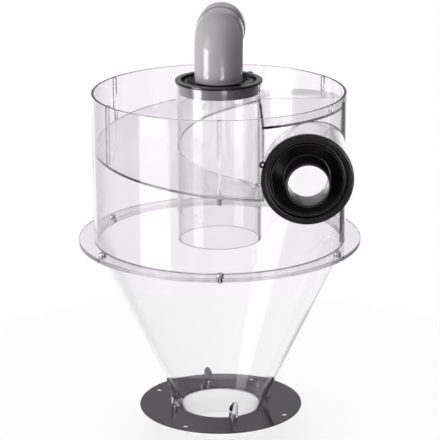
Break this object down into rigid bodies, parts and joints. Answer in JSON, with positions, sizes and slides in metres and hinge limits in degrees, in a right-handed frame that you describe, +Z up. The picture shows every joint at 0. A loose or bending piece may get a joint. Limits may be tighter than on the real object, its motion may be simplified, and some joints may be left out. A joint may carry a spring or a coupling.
{
  "type": "cyclone dust separator",
  "caption": "Clear cyclone dust separator: open-topped barrel with tangential inlet and helical roof, central outlet tube with grey bend, cone on a round base plate with dust spigot.",
  "frame": {"origin": "on the barrel's axis, at the lower rim of the dust spigot, which is the level the separator stands on", "axes": "+Z up along the barrel's axis; the tangential inlet's mouth faces -Y and lies on the +X side"},
  "size_m": [0.337, 0.3675, 0.5152],
  "materials": {
    "clear_sheet": "clear polished sheet",
    "black_moulding": "satin",
    "grey_pipe": "smooth",
    "dark_plate": "polished",
    "screw_steel": "bright zinc"
  },
  "bodies": {
    "root": {"barrel_shell": "clear_sheet", "barrel_flange": "clear_sheet", "inlet_pipe": "clear_sheet", "ramp_roof": "clear_sheet", "ramp_helix": "clear_sheet", "step_plate": "clear_sheet", "rib_1": "clear_sheet", "rib_2": "clear_sheet", "rib_3": "clear_sheet", "rib_4": "clear_sheet", "rib_5": "clear_sheet", "rib_6": "clear_sheet", "vortex_tube": "clear_sheet", "outlet_reducer": "black_moulding", "inlet_reducer": "black_moulding", "outlet_elbow": "grey_pipe", "elbow_socket": "grey_pipe", "cone_shell": "clear_sheet", "cone_flange": "clear_sheet", "flange_screw_1": "screw_steel", "flange_screw_2": "screw_steel", "flange_screw_3": "screw_steel", "flange_screw_4": "screw_steel", "flange_screw_5": "screw_steel", "flange_screw_6": "screw_steel", "foot_boss_1": "clear_sheet", "foot_boss_2": "clear_sheet", "foot_boss_3": "clear_sheet", "foot_boss_4": "clear_sheet", "foot_screw_1": "screw_steel", "foot_screw_2": "screw_steel", "foot_screw_3": "screw_steel", "foot_screw_4": "screw_steel", "base_plate": "dark_plate", "outlet_spigot": "clear_sheet"}
  },
  "joints": []
}
